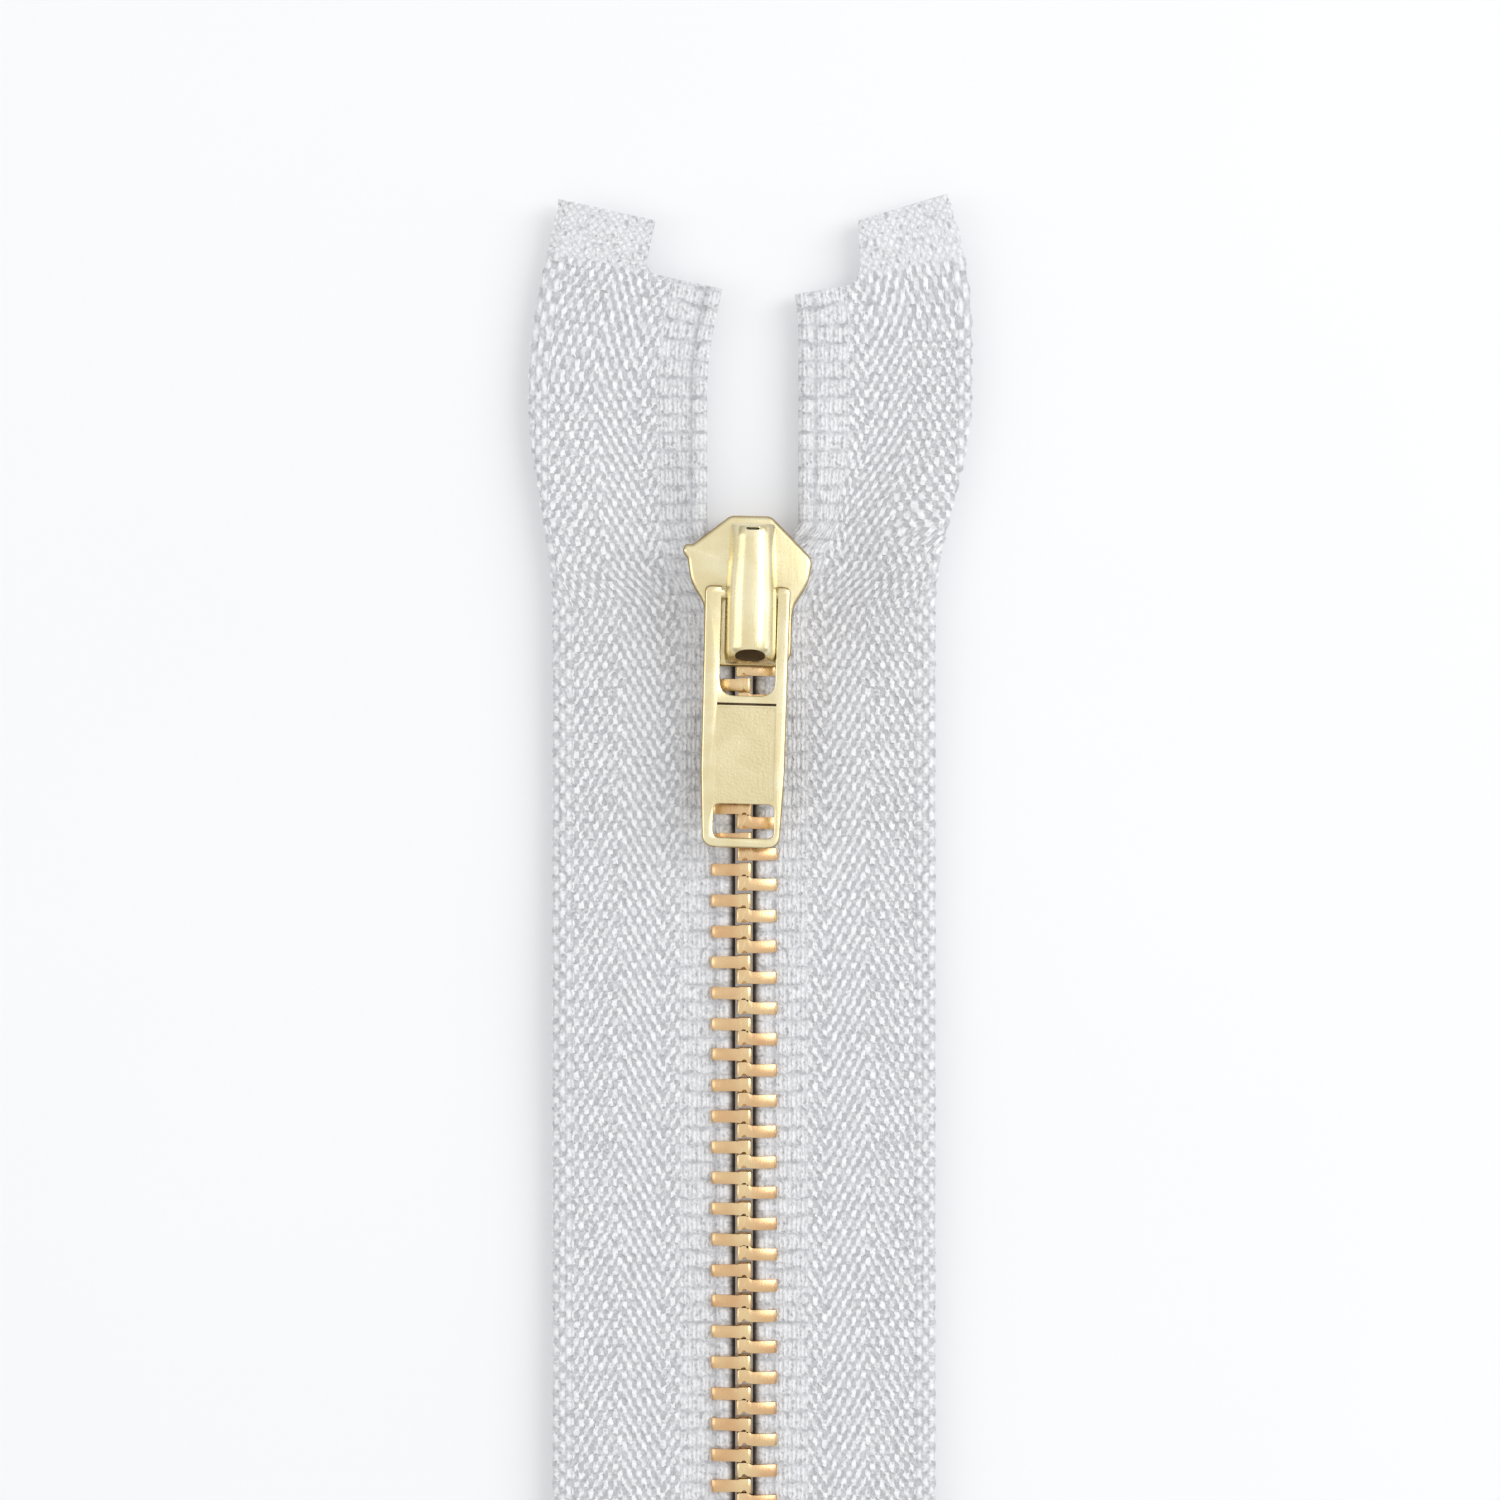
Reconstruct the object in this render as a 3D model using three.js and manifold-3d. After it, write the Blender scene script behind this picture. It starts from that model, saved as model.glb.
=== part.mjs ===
// A closed-end metal zipper, pulled shut and lying face up.
// Millimetres. +X goes across the tapes, +Y along the chain towards the open end, +Z up.
// The chain is laid out with y = 0 at the top of the bottom stop; the slider has its own
// group, and the finished zipper is centred on the origin at the end.

import * as THREE from 'three';
import { mergeVertices } from 'three/addons/utils/BufferGeometryUtils.js';
import Module from 'manifold-3d';

const wasm = await Module();
wasm.setup();

// ---- driving dimensions -------------------------------------------------------------

// The chain: brass teeth clamped on the cord at each tape's edge.
const PITCH = 2.09;
const TEETH_PER_SIDE = 48;
const TEETH_PER_GROUP = 6;
const FIRST_TOOTH_Y = 0.9;
const TOOTH_THICKNESS = 2.1;
const TOOTH_BAR = 0.8;
const TOOTH_HEAD = 0.9;
const TOOTH_REACH = 1.9; // from the cord's centre in to the tip
const TOOTH_HEEL = 0.85; // from the cord's centre out to the back of the clamp
const CORD_X = 1.4; // the cord's centre from the chain's centre line, closed
const CORD_RADIUS = 0.55;
const CHAIN_Z = 2; // middle of the chain's thickness

// The tapes.
const TAPE_THICKNESS = 0.55;
const TAPE_OUTER = 11.6; // from the cord's centre out to the selvedge
const TAPE_BESIDE_TEETH = 1.15; // the tape starts this far out of the cord beside the teeth
const TAPE_ON_CORD = 0.3; // and here where it holds a bare cord
const TOP_TAIL = 19.1; // past the slider's nose, along the cord
const BOTTOM_TAIL = 18; // past the bottom stop
const NOTCH_WIDTH = 4.75; // taken from the tape's corner, measured from the cord's centre
const NOTCH_DEPTH = 4.3;
const NOTCH_FILLET = 1;
const DROOP_START = -5; // the bottom tails come down to the table from here
const DROOP_LENGTH = 7;

// The stops.
const BOTTOM_STOP = { width: 4.9, length: 3.4, thickness: 2.5 };
const TOP_STOP = { length: 2.2, thickness: 2.1, above: 3 }; // above the slider's middle

// The slider, in its own group: y = 0 at the middle of its length, z = 0 under it.
const SLIDER_LENGTH = 10.2;
const SLIDER_Y = 99.3;
const SHOULDER_HALF = 4.38; // at the widest place, the tips of the shoulders
const SHOULDER_Y = 2.45;
const FLANK_HALF = 3.98; // where the sides start to close in to the waist
const FLANK_Y = 0.6;
const WAIST_HALF = 3.02;
const WAIST_Y = -0.95;
const NOSE_HALF = 1.36;
const WING = 0.85;
const CHANNEL = 2.3;
const SLIDER_THICKNESS = 2 * WING + CHANNEL;
const TAPE_SLOT = 1; // between the upper and lower flanges
const CHANNEL_WAIST_HALF = 2.45;
const CHANNEL_SHOULDER_HALF = 3.6;
const CHANNEL_FLANK_Y = 0.8;
const FLANGE_END = 2.6; // the flanges stop here, and the wings go on to the nose
const WEDGE_HALF = 0.55;

// Where each cord runs: straight, then out around the wedge, then on out to the free tail.
const THROAT_START = -1.3; // in the slider's own y
const THROAT_LENGTH = 3.6;
const THROAT_SPREAD = 1.15;
const TAIL_SPREAD = 2.2;
const TAIL_SPREAD_LENGTH = 5.7;
const OUTER_SPREAD_LENGTH = 14.5;
const LEAN = THREE.MathUtils.degToRad(14); // the tails lean in towards each other
const LEAN_START = 14.5; // above the slider's middle
const LEAN_TURN = 6.5;

// The crown, the pull and the lock.
const CROWN = { half: 1.55, length: 10, height: 2.95, wall: 0.4, endRadius: 1.7 };
const BAR = { y: -0.2, z: 4.65, radius: 0.5 };
const PULL = { length: 17.15, top: 2.8, bottom: 2.7, thickness: 1, corner: 0.75, edge: 0.12 };
const PULL_WINDOW = { half: 1.95, end: 6.9, radius: 0.9 };
const PULL_SLOT = { half: 1.99, from: 14.15, to: 16.5, radius: 0.45 };
const PULL_PANEL = { from: 7.5, to: 14.05, half: 2.05, depth: 0.15 };
const LEAF = { from: 4.5, to: -3.6, half: 0.65, bottom: 5.3, thickness: 0.25 };
const PRONG = { x: -0.82, y: -3.305, half: 0.2, tip: 2.8 };
const POST = { half: 0.6, from: 3.6, to: 4.4 };

const GAP = 0.15; // clearance on each side of a piece that another one goes through
const HINGE_Y = SLIDER_Y + THROAT_START - 45 * PITCH; // each strand parts from the base here

// ---- materials ----------------------------------------------------------------------

const metal = (name, color, roughness) =>
  new THREE.MeshStandardMaterial({ name, color, roughness, metalness: 1 });

const brass = metal('brass', 0xd6a056, 0.32);
const gold = metal('gold_plate', 0xe6d292, 0.18);
const springSteel = metal('spring_steel', 0xb9bbbf, 0.35);
const tapeCloth = new THREE.MeshStandardMaterial({
  name: 'tape_cloth', color: 0xe1e2e6, roughness: 0.9, metalness: 0,
});

// ---- solids -------------------------------------------------------------------------

const AXIS_X = new THREE.Vector3(1, 0, 0);
const AXIS_Y = new THREE.Vector3(0, 1, 0);
const AXIS_Z = new THREE.Vector3(0, 0, 1);

function toSolid(geometry) {
  const bare = new THREE.BufferGeometry();
  bare.setAttribute('position', geometry.getAttribute('position').clone());
  if (geometry.index) bare.setIndex(geometry.index.clone());
  const merged = mergeVertices(bare, 1e-5);
  return new wasm.Manifold(new wasm.Mesh({
    numProp: 3,
    vertProperties: new Float32Array(merged.getAttribute('position').array),
    triVerts: new Uint32Array(merged.index.array),
  }));
}

function toMesh(name, solid, material) {
  const { vertProperties, triVerts } = solid.getMesh();
  const geometry = new THREE.BufferGeometry();
  geometry.setAttribute('position', new THREE.Float32BufferAttribute(vertProperties, 3));
  geometry.setIndex(Array.from(triVerts));
  geometry.computeVertexNormals();
  const mesh = new THREE.Mesh(geometry, material);
  mesh.name = name;
  return mesh;
}

function box(x0, x1, y0, y1, z0, z1) {
  const block = new THREE.BoxGeometry(x1 - x0, y1 - y0, z1 - z0);
  return toSolid(block.translate((x0 + x1) / 2, (y0 + y1) / 2, (z0 + z1) / 2));
}

const union = (...solids) => solids.reduce((all, next) => all.add(next));

// A shape drawn in (x, y), from z0 up to z1, with its rims cut back by edge.
function plate(shape, z0, z1, edge = 0, curveSegments = 4) {
  const geometry = new THREE.ExtrudeGeometry(shape, {
    depth: z1 - z0 - 2 * edge,
    bevelEnabled: edge > 0,
    bevelThickness: edge,
    bevelSize: edge,
    bevelOffset: -edge,
    bevelSegments: 1,
    curveSegments,
  });
  return toSolid(geometry.translate(0, 0, z0 + edge));
}

// A shape drawn in (y, z), going across from -half to half.
function crosswise(shape, half, curveSegments = 4) {
  const geometry = new THREE.ExtrudeGeometry(shape, {
    depth: 2 * half, bevelEnabled: false, curveSegments,
  });
  geometry.translate(0, 0, -half);
  geometry.applyMatrix4(new THREE.Matrix4().makeBasis(AXIS_Y, AXIS_Z, AXIS_X));
  return toSolid(geometry);
}

// A shape drawn in (x, z), going along from -half to half.
function lengthwise(shape, half, curveSegments = 4) {
  const geometry = new THREE.ExtrudeGeometry(shape, {
    depth: 2 * half, bevelEnabled: false, curveSegments,
  });
  geometry.translate(0, 0, -half);
  const back = AXIS_Y.clone().negate();
  geometry.applyMatrix4(new THREE.Matrix4().makeBasis(AXIS_X, AXIS_Z, back));
  return toSolid(geometry);
}

function polygon(points) {
  return new THREE.Shape(points.map(([a, b]) => new THREE.Vector2(a, b)));
}

// A closed body through a row of rings, each an equal list of points.
function loft(rings) {
  const sides = rings[0].length;
  const last = (rings.length - 1) * sides;
  const triangles = [];
  for (let r = 0; r < rings.length - 1; r += 1) {
    for (let k = 0; k < sides; k += 1) {
      const a = r * sides + k;
      const b = r * sides + ((k + 1) % sides);
      triangles.push(a, b, b + sides, a, b + sides, a + sides);
    }
  }
  for (let k = 1; k < sides - 1; k += 1) {
    triangles.push(0, k + 1, k);
    triangles.push(last, last + k, last + k + 1);
  }
  const geometry = new THREE.BufferGeometry();
  geometry.setAttribute('position', new THREE.Float32BufferAttribute(rings.flat(2), 3));
  geometry.setIndex(triangles);
  return toSolid(geometry);
}

function rounded(x0, x1, y0, y1, r, path = new THREE.Shape()) {
  path.moveTo(x0 + r, y0);
  path.lineTo(x1 - r, y0);
  path.absarc(x1 - r, y0 + r, r, -Math.PI / 2, 0, false);
  path.lineTo(x1, y1 - r);
  path.absarc(x1 - r, y1 - r, r, 0, Math.PI / 2, false);
  path.lineTo(x0 + r, y1);
  path.absarc(x0 + r, y1 - r, r, Math.PI / 2, Math.PI, false);
  path.lineTo(x0, y0 + r);
  path.absarc(x0 + r, y0 + r, r, Math.PI, 1.5 * Math.PI, false);
  return path;
}

// ---- where the cords and tapes run --------------------------------------------------

// Everything is worked out for the right-hand side, where out is +X, and mirrored.

function smooth(t) {
  const u = THREE.MathUtils.clamp(t, 0, 1);
  return u * u * (3 - 2 * u);
}

function leanIn(y) {
  const past = Math.max(0, y - SLIDER_Y - LEAN_START);
  const turn = Math.min(past, LEAN_TURN);
  return Math.tan(LEAN) * (turn ** 2 / (2 * LEAN_TURN) + (past - turn));
}

function leanAngle(y) {
  const past = THREE.MathUtils.clamp(y - SLIDER_Y - LEAN_START, 0, LEAN_TURN);
  return Math.atan(Math.tan(LEAN) * past / LEAN_TURN);
}

function cordX(y) {
  const local = y - SLIDER_Y;
  const throatEnd = THROAT_START + THROAT_LENGTH;
  const round = THROAT_SPREAD * smooth((local - THROAT_START) / THROAT_LENGTH);
  const free = (TAIL_SPREAD - THROAT_SPREAD) * smooth((local - throatEnd) / TAIL_SPREAD_LENGTH);
  return CORD_X + round + free - leanIn(y);
}

function cordHeading(y) {
  const step = 0.01;
  return Math.atan2(cordX(y + step) - cordX(y - step), 2 * step);
}

function selvedgeOut(y) {
  const spread = smooth((y - SLIDER_Y - THROAT_START) / OUTER_SPREAD_LENGTH);
  return CORD_X + TAPE_OUTER + TAIL_SPREAD * spread - leanIn(y) - cordX(y);
}

function layerZ(y) {
  const down = smooth((DROOP_START - y) / DROOP_LENGTH);
  return CHAIN_Z - down * (CHAIN_Z - TAPE_THICKNESS / 2);
}

// The cord is thicker than the tape, so on the table its middle stays higher.
const cordZ = (y) => Math.max(layerZ(y), CORD_RADIUS * Math.sin(Math.PI / 3));

// A point of the tape: y along the cord, out from the cord's centre.
function tapePoint(y, out, z) {
  const angle = leanAngle(y);
  return [cordX(y) + out * Math.cos(angle), y + out * Math.sin(angle), z];
}

function steps(from, to, size) {
  const count = Math.max(1, Math.ceil((to - from) / size));
  return Array.from({ length: count + 1 }, (_, i) => from + (to - from) * i / count);
}

function tapeRing(y, inner) {
  const low = layerZ(y) - TAPE_THICKNESS / 2;
  const high = layerZ(y) + TAPE_THICKNESS / 2;
  const outer = selvedgeOut(y);
  return [
    tapePoint(y, inner, low), tapePoint(y, inner, high),
    tapePoint(y, outer, high), tapePoint(y, outer, low),
  ];
}

const hexagon = Array.from({ length: 6 }, (_, k) => k * Math.PI / 3);

function cordRing(y, radius) {
  const heading = cordHeading(y);
  return hexagon.map((angle) => {
    const out = radius * Math.cos(angle);
    return [
      cordX(y) + out * Math.cos(heading),
      y - out * Math.sin(heading),
      cordZ(y) - radius * Math.sin(angle),
    ];
  });
}

const cord = (ys, radius = CORD_RADIUS) => loft(ys.map((y) => cordRing(y, radius)));

const isStraight = (y0, y1) => y0 > DROOP_START && y1 < SLIDER_Y + THROAT_START;
const cordSteps = (y0, y1) => (isStraight(y0, y1) ? [y0, y1] : steps(y0, y1, PITCH / 2));

// ---- chain --------------------------------------------------------------------------

// One tooth in plan: the cord's centre at the origin, the heel out, the head in.
// The head is domed on its upper edge and hollowed under it.
function toothOutline() {
  const bar = TOOTH_BAR / 2;
  const head = TOOTH_HEAD / 2;
  const neck = TOOTH_REACH - 0.8;
  const cheek = TOOTH_REACH - 0.25;
  return polygon([
    [TOOTH_HEEL, -bar + 0.12], [TOOTH_HEEL, bar - 0.12], [TOOTH_HEEL - 0.15, bar],
    [-neck, bar], [-neck - 0.2, head], [-cheek, head], [-TOOTH_REACH, 0.2],
    [-TOOTH_REACH, -0.25], [-cheek, -bar], [-cheek + 0.2, -bar + 0.12], [-neck - 0.1, -bar],
    [TOOTH_HEEL - 0.15, -bar],
  ]);
}

function tooth(y) {
  const half = TOOTH_THICKNESS / 2;
  const turned = plate(toothOutline(), CHAIN_Z - half, CHAIN_Z + half)
    .rotate([0, 0, -THREE.MathUtils.radToDeg(cordHeading(y))]);
  return turned.translate([cordX(y), y, 0]);
}

function toothRow(side) {
  const first = FIRST_TOOTH_Y + (side.name === 'right' ? PITCH / 2 : 0);
  return Array.from({ length: TEETH_PER_SIDE }, (_, k) => first + k * PITCH);
}

// Teeth joined by their length of cord.
function toothGroup(ys, from, to) {
  return union(cord(cordSteps(from, to)), ...ys.map(tooth));
}

function baseTeeth(side) {
  const ys = toothRow(side).filter((y) => y < HINGE_Y - PITCH / 4);
  const next = ys.at(-1) + PITCH - TOOTH_HEAD / 2;
  const top = Math.min(HINGE_Y, next) - GAP;
  return [part(side, 'teeth_base', toothGroup(ys, GAP, top), brass)];
}

function strandTeeth(side) {
  const ys = toothRow(side).filter((y) => y >= HINGE_Y - PITCH / 4);
  const meshes = [];
  for (let k = 0; k < ys.length; k += TEETH_PER_GROUP) {
    const group = ys.slice(k, k + TEETH_PER_GROUP);
    const from = Math.max(HINGE_Y, group[0] - PITCH / 2) + GAP;
    const isLast = k + TEETH_PER_GROUP >= ys.length;
    const to = isLast ? group.at(-1) + TOOTH_BAR / 2 : group.at(-1) + PITCH / 2 - GAP;
    const number = 1 + k / TEETH_PER_GROUP;
    meshes.push(part(side, `teeth_${number}`, toothGroup(group, from, to), brass));
  }
  return meshes;
}

// ---- stops --------------------------------------------------------------------------

function bottomStop() {
  const { width, length, thickness } = BOTTOM_STOP;
  const outline = rounded(-width / 2, width / 2, -length, 0, 0.5);
  const block = plate(outline, CHAIN_Z - thickness / 2, CHAIN_Z + thickness / 2, 0.3);
  const hole = cord([-length - GAP, GAP], CORD_RADIUS + GAP);
  return block.subtract(hole).subtract(hole.mirror([1, 0, 0]));
}

function topStop() {
  const { length, thickness, above } = TOP_STOP;
  const y = SLIDER_Y + above;
  const outline = rounded(-CORD_RADIUS - 0.35, TOOTH_HEEL, -length / 2, length / 2, 0.3);
  const block = plate(outline, CHAIN_Z - thickness / 2, CHAIN_Z + thickness / 2, 0.2, 2)
    .rotate([0, 0, -THREE.MathUtils.radToDeg(cordHeading(y))])
    .translate([cordX(y), y, 0]);
  return block.subtract(cord(steps(y - length, y + length, PITCH / 2), CORD_RADIUS + GAP));
}

// ---- tapes --------------------------------------------------------------------------

// The tape between two places along the cord, starting inner from the cord's centre.
const tapeLength = (ys, inner) => loft(ys.map((y) => tapeRing(y, inner)));

function baseTape() {
  const stopEnd = -BOTTOM_STOP.length - GAP;
  const end = -BOTTOM_STOP.length - BOTTOM_TAIL;
  const tail = steps(end, DROOP_START - DROOP_LENGTH, 20)
    .concat(steps(DROOP_START - DROOP_LENGTH, DROOP_START, 1).slice(1), stopEnd);
  return union(
    tapeLength(tail, TAPE_ON_CORD),
    tapeLength([stopEnd - GAP, HINGE_Y - GAP], TAPE_BESIDE_TEETH),
    cord([...tail, -GAP]),
  );
}

function strandTape() {
  const stopTop = SLIDER_Y + TOP_STOP.above + TOP_STOP.length / 2 + GAP;
  const end = SLIDER_Y + SLIDER_LENGTH / 2 + TOP_TAIL;
  const notch = end - NOTCH_DEPTH;
  const curved = steps(stopTop, notch, 1);
  const besideTeeth = [HINGE_Y + GAP, ...steps(SLIDER_Y + THROAT_START, stopTop + GAP, 0.9)];
  const corner = [0, 30, 60, 90].map((degrees) => {
    const angle = THREE.MathUtils.degToRad(degrees);
    return {
      y: notch + GAP / 3 + NOTCH_FILLET * (1 - Math.cos(angle)),
      inner: NOTCH_WIDTH - NOTCH_FILLET * (1 - Math.sin(angle)),
    };
  });
  const tailRings = curved.map((y) => tapeRing(y, TAPE_ON_CORD))
    .concat(corner.map(({ y, inner }) => tapeRing(y, inner)))
    .concat([tapeRing(end, NOTCH_WIDTH)]);
  return union(
    tapeLength(besideTeeth, TAPE_BESIDE_TEETH),
    loft(tailRings),
    cord(steps(stopTop - TOP_STOP.length / 2, notch, 1)),
  );
}

// ---- slider -------------------------------------------------------------------------

function mirrored(points) {
  const left = points.map(([x, y]) => [-x, y]).reverse();
  return [...points, ...left];
}

function wingOutline() {
  const nose = SLIDER_LENGTH / 2;
  const shape = new THREE.Shape();
  const half = [
    ['to', WAIST_HALF - 0.8, -nose],
    ['round', WAIST_HALF, -nose, WAIST_HALF, -nose + 0.8],
    ['to', WAIST_HALF, WAIST_Y - 0.6],
    ['round', WAIST_HALF, WAIST_Y, WAIST_HALF + 0.35, WAIST_Y + 0.5],
    ['to', FLANK_HALF - 0.2, FLANK_Y - 0.35],
    ['round', FLANK_HALF, FLANK_Y, FLANK_HALF + 0.08, FLANK_Y + 0.4],
    ['to', SHOULDER_HALF - 0.05, SHOULDER_Y - 0.25],
    ['round', SHOULDER_HALF, SHOULDER_Y, SHOULDER_HALF - 0.25, SHOULDER_Y + 0.2],
    ['to', NOSE_HALF + 0.4, nose - 0.2],
    ['round', NOSE_HALF + 0.1, nose, NOSE_HALF - 0.3, nose],
  ];
  shape.moveTo(half[0][1], half[0][2]);
  half.slice(1).forEach(([kind, ...at]) => {
    if (kind === 'to') shape.lineTo(...at);
    else shape.quadraticCurveTo(...at);
  });
  const drawn = shape.getPoints(3).map(({ x, y }) => [x, y]);
  return polygon(mirrored(drawn));
}

function channelOutline() {
  const past = SLIDER_LENGTH;
  return polygon(mirrored([
    [CHANNEL_WAIST_HALF, -past], [CHANNEL_WAIST_HALF, WAIST_Y],
    [CHANNEL_SHOULDER_HALF, CHANNEL_FLANK_Y], [CHANNEL_SHOULDER_HALF, FLANGE_END],
    [past, FLANGE_END + 1.2], [past, past],
  ]));
}

function wedge() {
  const nose = SLIDER_LENGTH / 2;
  const outline = polygon(mirrored([
    [0.06, 1.6], [WEDGE_HALF, 3.6], [WEDGE_HALF - 0.1, nose - 0.35],
  ]));
  return plate(outline, WING / 2, SLIDER_THICKNESS - WING / 2);
}

function sliderBody() {
  const slotLow = (SLIDER_THICKNESS - TAPE_SLOT) / 2;
  const slot = box(2, SLIDER_LENGTH, -SLIDER_LENGTH, SLIDER_LENGTH, slotLow, slotLow + TAPE_SLOT);
  const prongHole = box(
    PRONG.x - 2 * PRONG.half, PRONG.x + 2 * PRONG.half,
    PRONG.y - 3 * PRONG.half, PRONG.y + 2 * PRONG.half,
    SLIDER_THICKNESS - 2 * WING, 2 * SLIDER_THICKNESS,
  );
  const leafSeat = LEAF.bottom - 0.05;
  return plate(wingOutline(), 0, SLIDER_THICKNESS, 0.25)
    .subtract(plate(channelOutline(), WING, WING + CHANNEL))
    .subtract(slot)
    .subtract(slot.mirror([1, 0, 0]))
    .add(wedge())
    .subtract(prongHole)
    .add(box(-POST.half, POST.half, POST.from, POST.to, SLIDER_THICKNESS - WING / 2, leafSeat));
}

// A shell that stands on the upper wing and arches over the lock and the pull's bar.
function arch(half, height, top) {
  const shape = new THREE.Shape();
  shape.moveTo(-half, 0);
  shape.lineTo(half, 0);
  shape.lineTo(half, height - top);
  shape.bezierCurveTo(half, height - 0.45 * top, 0.55 * half, height, 0, height);
  shape.bezierCurveTo(-0.55 * half, height, -half, height - 0.45 * top, -half, height - top);
  return shape;
}

function crownSide(length, height, radius) {
  const shape = new THREE.Shape();
  const end = length / 2;
  shape.moveTo(-end, 0);
  shape.lineTo(end, 0);
  shape.lineTo(end, height - radius);
  shape.absarc(end - radius, height - radius, radius, 0, Math.PI / 2, false);
  shape.lineTo(-end + radius, height);
  shape.absarc(-end + radius, height - radius, radius, Math.PI / 2, Math.PI, false);
  return shape;
}

function crown() {
  const { half, length, height, wall, endRadius } = CROWN;
  const seat = SLIDER_THICKNESS + 0.02;
  const outside = lengthwise(arch(half, height, 1.3), length)
    .intersect(crosswise(crownSide(length, height, endRadius), length, 3));
  const hollow = lengthwise(arch(half - wall, height - wall, 1.1).clone(), length)
    .intersect(crosswise(crownSide(length - 2 * wall, height - wall, endRadius - wall), length, 3));
  const reach = BAR.radius + GAP;
  const barNotch = box(
    -length, length, BAR.y - reach, BAR.y + reach, -1, BAR.z + reach - seat,
  );
  return outside.subtract(hollow).subtract(barNotch).translate([0, 0, seat]);
}

// ---- pull and lock ------------------------------------------------------------------

// The pull is drawn about its bar: y = 0 and z = 0 on the bar's axis.
function pullOutline() {
  const { length, top, bottom, corner } = PULL;
  const shape = new THREE.Shape();
  shape.moveTo(top, 0);
  shape.lineTo(-top, 0);
  shape.lineTo(-bottom, -length + corner);
  shape.quadraticCurveTo(-bottom, -length, -bottom + corner, -length);
  shape.lineTo(bottom - corner, -length);
  shape.quadraticCurveTo(bottom, -length, bottom, -length + corner);
  return shape;
}

function pull() {
  const half = PULL.thickness / 2;
  const open = PULL_WINDOW;
  const window = rounded(-open.half, open.half, -open.end, open.end, open.radius);
  const slot = rounded(
    -PULL_SLOT.half, PULL_SLOT.half, -PULL_SLOT.to, -PULL_SLOT.from, PULL_SLOT.radius,
  );
  const panel = rounded(
    -PULL_PANEL.half, PULL_PANEL.half, -PULL_PANEL.to, -PULL_PANEL.from, 0.25,
  );
  const barShape = new THREE.Shape();
  barShape.absarc(0, 0, BAR.radius, 0, 2 * Math.PI, false);
  const round = crosswise(barShape, PULL.top, 4);
  const plateSolid = plate(pullOutline(), -half, half, PULL.edge)
    .add(round)
    .subtract(plate(window, -PULL.thickness, PULL.thickness))
    .subtract(plate(slot, -PULL.thickness, PULL.thickness))
    .subtract(plate(panel, half - PULL_PANEL.depth, PULL.thickness));
  return plateSolid.add(crosswise(barShape, PULL_WINDOW.half + GAP, 4));
}

function lockSpring() {
  const { from, to, half, bottom, thickness } = LEAF;
  const leaf = box(-half, half, to, from, bottom, bottom + thickness);
  const { x, y, tip } = PRONG;
  const prong = box(x - PRONG.half, x + PRONG.half, y - PRONG.half, y + PRONG.half, tip, bottom);
  const arm = box(
    x - PRONG.half, 0, y - PRONG.half, y + PRONG.half, bottom, bottom + thickness,
  );
  return union(leaf, arm, prong);
}

// ---- assembly -----------------------------------------------------------------------

const RIGHT = { name: 'right', mirror: false };
const LEFT = { name: 'left', mirror: true };

function part(side, name, solid, material) {
  const placed = side.mirror ? solid.mirror([1, 0, 0]) : solid;
  return toMesh(`${side.name}_${name}`, placed, material);
}

function groupOf(name, children) {
  const group = new THREE.Group();
  group.name = name;
  group.add(...children);
  return group;
}

const base = groupOf('base', [
  toMesh('bottom_stop', bottomStop(), brass),
  ...[LEFT, RIGHT].flatMap((side) => [
    part(side, 'tape_base', baseTape(), tapeCloth),
    ...baseTeeth(side),
  ]),
]);

const strands = [LEFT, RIGHT].map((side) => groupOf(`${side.name}_strand`, [
  part(side, 'tape', strandTape(), tapeCloth),
  ...strandTeeth(side),
  part(side, 'top_stop', topStop(), brass),
]));

const pullTab = toMesh('pull_tab', pull(), gold);
pullTab.position.set(0, BAR.y, BAR.z);

const slider = groupOf('slider', [
  toMesh('slider_body', sliderBody(), gold),
  toMesh('slider_crown', crown(), gold),
  toMesh('lock_spring', lockSpring(), springSteel),
  pullTab,
]);
slider.position.y = SLIDER_Y;

const zipper = groupOf('zipper', [base, ...strands, slider]);
const extent = new THREE.Box3().setFromObject(zipper, true);
zipper.position.y = -(extent.min.y + extent.max.y) / 2;

export default zipper;
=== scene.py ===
"""A closed-end metal zipper with woven tapes, lying face up on a pale table.

Shapes are worked out in millimetres along the chain: x goes across the tapes, y runs up
the chain from the top of the bottom stop, and z is height above the table. The slider,
crown and pull are drawn about the middle of the slider.
"""

import math

import bmesh
import bpy
import numpy as np
from mathutils import Matrix, Vector


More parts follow.
